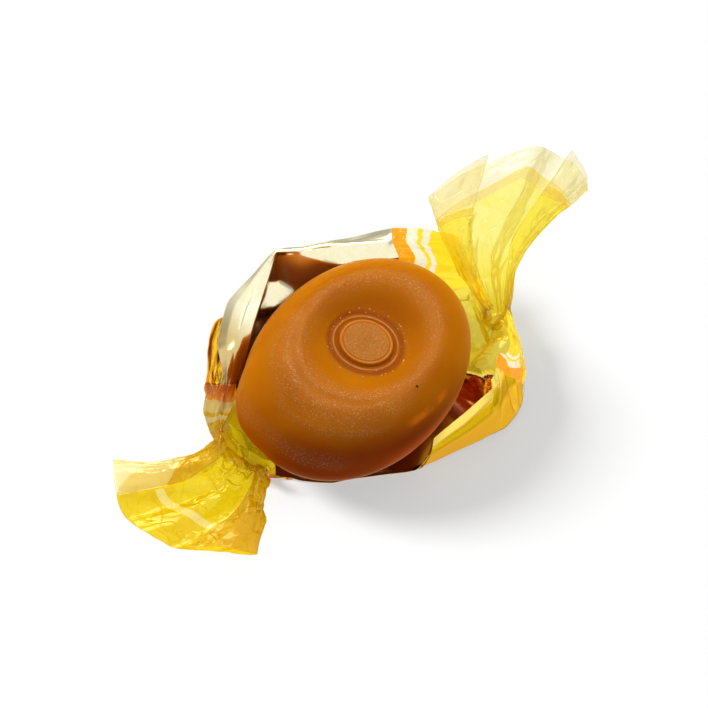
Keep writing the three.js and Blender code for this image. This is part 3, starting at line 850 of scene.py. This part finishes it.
def film_glass(look, plan, deep):
    """Tinted clear film, in its deeper tint where deep is 1. It is yellow, lighter along the right tail and
    deeper at the far left and in the right neck, with the tints of the bands of print over it."""

    def tinted(light, dark):
        return look.blend(deep, look.tint(*light), look.tint(*dark))

    yellow = tinted((0.99, 0.945, 0.38), (0.945, 0.80, 0.03))
    light_yellow = tinted((0.99, 0.965, 0.56), (0.97, 0.92, 0.34))
    yellow = look.blend(plan.along.ramp(15, 29) * plan.rightward, yellow, light_yellow)
    neck_core = plan.along.ramp(23, 14) * plan.along.ramp(12.0, 12.6) * plan.rightward
    deeper_yellow = tinted((0.91, 0.81, 0.10), (0.80, 0.60, 0.01))
    yellow = look.blend(plan.far_left + neck_core * 0.7, yellow, deeper_yellow)
    pale = tinted((0.98, 0.965, 0.86), (0.955, 0.91, 0.64))
    glass = look.blend(plan.pale_end, yellow, pale)
    clear = look.blend(plan.leftward, look.tint(0.98, 0.97, 0.90), look.tint(0.97, 0.93, 0.45))
    glass = look.blend(plan.clear, glass, clear)
    glass = look.blend(plan.stripe, glass, look.tint(0.93, 0.90, 0.78))
    glass = look.blend(plan.tail_stripe, glass, look.tint(0.95, 0.91, 0.66))
    deep_orange = plan.streak.ramp(0.4, 0.62) * 0.75 + plan.leftward * 0.15
    orange = look.blend(deep_orange, look.tint(1.0, 0.75, 0.03), look.tint(0.94, 0.52, 0.0))
    return look.blend(plan.orange, glass, orange)


def film_haze(look, plan):
    """The milky part of the clear film, in the colour of each band. At the right an emission stands for the
    light from behind it."""
    colour = look.mix(plan.pale_end, rgb(252, 224, 40), rgb(248, 240, 196))
    colour = look.mix(plan.leftward * plan.body, colour, rgb(246, 208, 20))
    cream = look.mix(plan.leftward, rgb(240, 234, 214), rgb(244, 226, 150))
    colour = look.mix(plan.clear + plan.stripe, colour, cream)
    orange = look.mix(plan.leftward * plan.streak.ramp(0.36, 0.6), rgb(255, 174, 14), rgb(222, 108, 0))
    colour = look.mix(plan.orange, colour, orange)
    light_end = plan.along.ramp(0.5, 1.7) * plan.leftward * plan.orange
    colour = look.mix(light_end * 0.7, colour, rgb(255, 196, 60))
    translucent = look.add("ShaderNodeBsdfTranslucent", None, {"Color": colour})
    haze = look.blend(0.4, translucent, look.add("ShaderNodeBsdfDiffuse", None, {"Color": colour}))
    shine = look.add("ShaderNodeEmission", None, {"Color": colour, "Strength": 1.4})
    return look.blend(plan.side.ramp(8, 12) * plan.body * 0.55, haze, shine)


def printed_film(look, plan):
    """Clear film with small flat panels and creases: tinted glass and a thin haze, with a gloss over both."""
    bend = look.add("ShaderNodeTexNoise", None, {"Vector": plan.place, "Scale": 260.0}, out=1)
    bent_settings = {0: bend, 1: (0.005, 0.005, 0.005), 2: plan.place}
    bent = look.add("ShaderNodeVectorMath", {"operation": "MULTIPLY_ADD"}, bent_settings)
    panels = look.cells(bent, 330.0)
    creases = look.cells(bent, 520.0, edge=True).ramp(0.05, 0.0)
    facing = look.add("ShaderNodeLayerWeight", None, {0: 0.35}, out=1)
    deep = facing.ramp(0.1, 0.95) * 0.55 + panels.ramp(0.4, 1.0) * 0.3 + creases * 0.18
    relief = panels * 0.5 + creases * -0.3
    normal = look.add("ShaderNodeBump", None, {"Strength": 0.5, "Distance": 0.0004, "Height": relief})
    gloss_finish = {"Color": (1, 0.95, 0.62, 1), "Roughness": 0.12, "Normal": normal}
    gloss = look.add("ShaderNodeBsdfGlossy", None, gloss_finish)
    fresnel = look.add("ShaderNodeFresnel", None, {0: 1.45})
    cloudy = 0.10 + plan.body * 0.38 + plan.clear * 0.1 + plan.stripe * 0.3
    cloudy = cloudy + plan.pale_end * 0.08 + plan.tail_stripe * 0.15 + plan.far_left * 0.08
    film = look.blend(cloudy, film_glass(look, plan, deep), film_haze(look, plan))
    return look.blend(fresnel * 0.5 + 0.02, film, gloss)


def film_metal(look, plan, colour, mottle_colour, grazing, roughness, outside):
    """Mirror metal. With outside 1 it has painted shade in dark red-brown streaks along the folds at its left
    end, and along the near rim a painted highlight band over a painted shaded olive band. With outside 0 it
    has a painted darker reflection at the cuff's lower end, and a painted brown reflection of the caramel in
    the wedge behind the near wall. Both have a broken dark line where the metal ends at the left, and painted
    warm reflections in streaks at the right corner."""
    mottle = look.noise(plan.place, 1500.0, 2.0, 0.6).ramp(0.35, 0.65)
    colour = look.mix(mottle, colour, mottle_colour)
    # Painted shade: dark red-brown streaks along the folds at the metal's left end, outside only, and on both
    # sides a broken dark line where the metal ends there.
    fold_shade_and_end_line = plan.streak.ramp(0.46, 0.60) * plan.along.band(-6.0, 0.0, 1.5) * outside
    fold_shade_and_end_line = (fold_shade_and_end_line + plan.along.band(-0.25, 0.0, 0.1) * plan.streak.ramp(0.35, 0.5)) * plan.leftward
    colour = look.mix(fold_shade_and_end_line, colour, rgb(150, 62, 4))
    on_flap = plan.side.ramp(-2, 1) * outside
    # Painted highlight: a cream band along the flap's near rim. Below it is painted shade: a darker olive
    # band.
    colour = look.mix(plan.across.ramp(1.1, 0.7) * on_flap, colour, rgb(252, 220, 104))
    colour = look.mix(plan.across.band(1.1, 1.9, 0.25) * on_flap, colour, rgb(206, 168, 10))
    # Painted reflections: warm light and dark streaks in the right corner of the metal.
    corner = plan.along.band(-230, -0.1, 60) * plan.across.band(3.5, 7.4, 0.5) * plan.side.ramp(8.5, 10.5)
    warm_reflection_colour = look.mix(plan.streak.ramp(0.42, 0.58), rgb(236, 176, 40), rgb(160, 84, 16))
    colour = look.mix(corner, colour, warm_reflection_colour)
    # Painted reflection: darker and browner at the cuff's lower end, on the inside only.
    cuff_end_reflection = plan.side.ramp(-5.5, -8.5) * plan.across.ramp(9.2, 10.2) * (1 - outside)
    colour = look.mix(cuff_end_reflection * 0.75, colour, rgb(204, 172, 90))
    # Painted reflection of the caramel: brown on the inside in the wedge behind the near wall, which is also
    # rougher there.
    wedge = plan.across.band(0.2, 4.6, 0.5) * plan.side.band(-1, 8.8, 1.5) * (1 - outside)
    colour = look.mix(wedge, colour, rgb(140, 88, 22))
    return look.add(
        "ShaderNodeBsdfPrincipled",
        None,
        {
            "Base Color": colour,
            "Metallic": 1.0 - 0.15 * outside,
            "Roughness": wedge * 0.15 + roughness,
            "Specular Tint": grazing,
        },
    )


def film_material(name, colour, mottle_colour, grazing, roughness, outside):
    """Twist film: metal in the middle of the wrapper, and clear film with its print beyond it."""
    look = Look(name)
    plan = FilmPlan(look)
    metal = film_metal(look, plan, colour, mottle_colour, grazing, roughness, outside)
    return look.surface(look.blend(plan.metal, printed_film(look, plan), metal))


def floor_material():
    """Matt white paper with a small glow of its own."""
    look = Look("studio_white")
    matt = look.add("ShaderNodeBsdfDiffuse", None, {"Color": (0.25, 0.25, 0.25, 1)})
    glow = look.add("ShaderNodeEmission", None, {"Color": (1, 1, 1, 1), "Strength": 0.47})
    return look.surface(look.add("ShaderNodeAddShader", None, {0: matt, 1: glow}))


# ---- pieces ----

sweet = make_caramel(caramel_material())
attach(sweet, "root")
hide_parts("caramel")

# Metal, its mottles and its grazing tint, its roughness, and 1 for the outside.
gold = (rgb(252, 194, 64), rgb(246, 196, 34), rgb(255, 214, 110), 0.25, 1.0)
pale_gold = (rgb(253, 246, 212), rgb(252, 243, 200), rgb(255, 252, 232), 0.18, 0.0)
outer_film = film_material("film_gold_outside", *gold)
inner_film = film_material("film_pale_gold_inside", *pale_gold)


def spread(counts, start):
    """Rails from start onwards, with so many steps to each gap between two rails."""
    parts = [start + i + np.arange(count) / count for i, count in enumerate(counts)]
    return np.concatenate(parts + [[start + len(counts)]])


pieces = [
    ("wrapper_near", np.linspace(LEFT_NECK, RIGHT_NECK, 421), spread([30, 24, 24, 16, 18], 0)),
    ("wrapper_far", np.linspace(LEFT_NECK, RIGHT_NECK, 421), spread([12, 16, 18, 16, 14, 20, 20], 5)),
    ("wrapper_tail_left", np.linspace(0, LEFT_NECK, 151), np.linspace(0, len(RAILS) - 1, 281)),
    ("wrapper_tail_right", np.linspace(RIGHT_NECK, LAST_STATION, 171), np.linspace(0, len(RAILS) - 1, 261)),
]
for name, u, v in pieces:
    film = make_film(name, u, v, outer_film, inner_film)
    film.visible_shadow = "tail" not in name
    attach(film, "root")
    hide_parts("wrapper")

# ---- floor, light and camera ----

FLOOR_REACH = 1.5  # metres
floor_mesh = bpy.data.meshes.new("floor")
floor_corners = [(x * FLOOR_REACH, y * FLOOR_REACH, 0) for x, y in ((-1, -1), (1, -1), (1, 1), (-1, 1))]
floor_mesh.from_pydata(floor_corners, [], [(0, 1, 2, 3)])
floor_mesh.materials.append(floor_material())
floor = bpy.data.objects.new("floor", floor_mesh)
bpy.context.scene.collection.objects.link(floor)

camera_data = bpy.data.cameras.new("camera")
camera_data.sensor_width = SENSOR
camera_data.lens = LENS
camera_data.clip_start = 0.01
camera = bpy.data.objects.new("camera", camera_data)
pixel = VIEW_DISTANCE / FOCAL_PIXELS  # mm at the aim
slide = (AIM_ROW - IMAGE_SIDE / 2) * pixel * UP - (AIM_COLUMN - IMAGE_SIDE / 2) * pixel * RIGHT
place = MIDDLE + (EYE + slide) * MM
camera.matrix_world = Matrix(np.column_stack([RIGHT, UP, BACK, place]).tolist() + [(0, 0, 0, 1)])
bpy.context.scene.collection.objects.link(camera)
bpy.context.scene.camera = camera


def area_light(name, place, aim, size, power, colour=(1, 1, 1)):
    """A round soft light at place that faces aim."""
    data = bpy.data.lights.new(name, "AREA")
    data.shape = "DISK"
    data.size = size
    data.energy = power
    data.color = colour
    light = bpy.data.objects.new(name, data)
    light.location = place
    light.rotation_euler = (Vector(aim) - Vector(place)).to_track_quat("-Z", "Y").to_euler()
    bpy.context.scene.collection.objects.link(light)
    return light


def link_light(light, state, target):
    """Let a light reach only the target, or everything else."""
    receivers = bpy.data.collections.new(light.name + "_receivers")
    receivers.objects.link(target)
    receivers.collection_objects[0].light_linking.link_state = state
    light.light_linking.receiver_collection = receivers


key = area_light("key", (-0.38, 0.44, 0.42), (0, 0, 0), 0.30, 1.9)
floor_key = area_light("floor_key", (-0.44, 0.38, 0.42), (0, 0, 0), 0.24, 12)
top_light = area_light("top", (0.29, 0.26, 0.46), (0, 0, 0), 0.40, 1.7)
front = area_light("front", (-0.15, -0.53, 0.30), (0, 0, 0), 0.35, 5.2)
key.visible_glossy = False
front.visible_glossy = False
link_light(floor_key, "INCLUDE", floor)
link_light(top_light, "EXCLUDE", floor)
link_light(front, "INCLUDE", bpy.data.objects["wrapper_near"])

world = bpy.data.worlds.new("studio")
bpy.context.scene.world = world
sky = Look("studio", world)
direction = sky.add("ShaderNodeTexCoord", None, None, out=0)
height = sky.add("ShaderNodeSeparateXYZ", None, {0: direction}, out=2)


def toward(aim):
    """Cosine of the angle from aim."""
    return sky.add("ShaderNodeVectorMath", {"operation": "DOT_PRODUCT"}, {0: direction, 1: aim}, out=1)


strength = 0.34 + height.ramp(0.0, 0.30) * 0.2 + height.ramp(0.30, 0.60) * 0.46
strength = strength * (1 - toward((-0.55, -0.28, 0.787)).ramp(0.80, 0.95) * 0.6)
background = sky.add("ShaderNodeBackground", None, {"Color": (1, 1, 1, 1), "Strength": strength})
sky.add("ShaderNodeOutputWorld", None, {"Surface": background})

bpy.context.scene.view_settings.view_transform = "Standard"
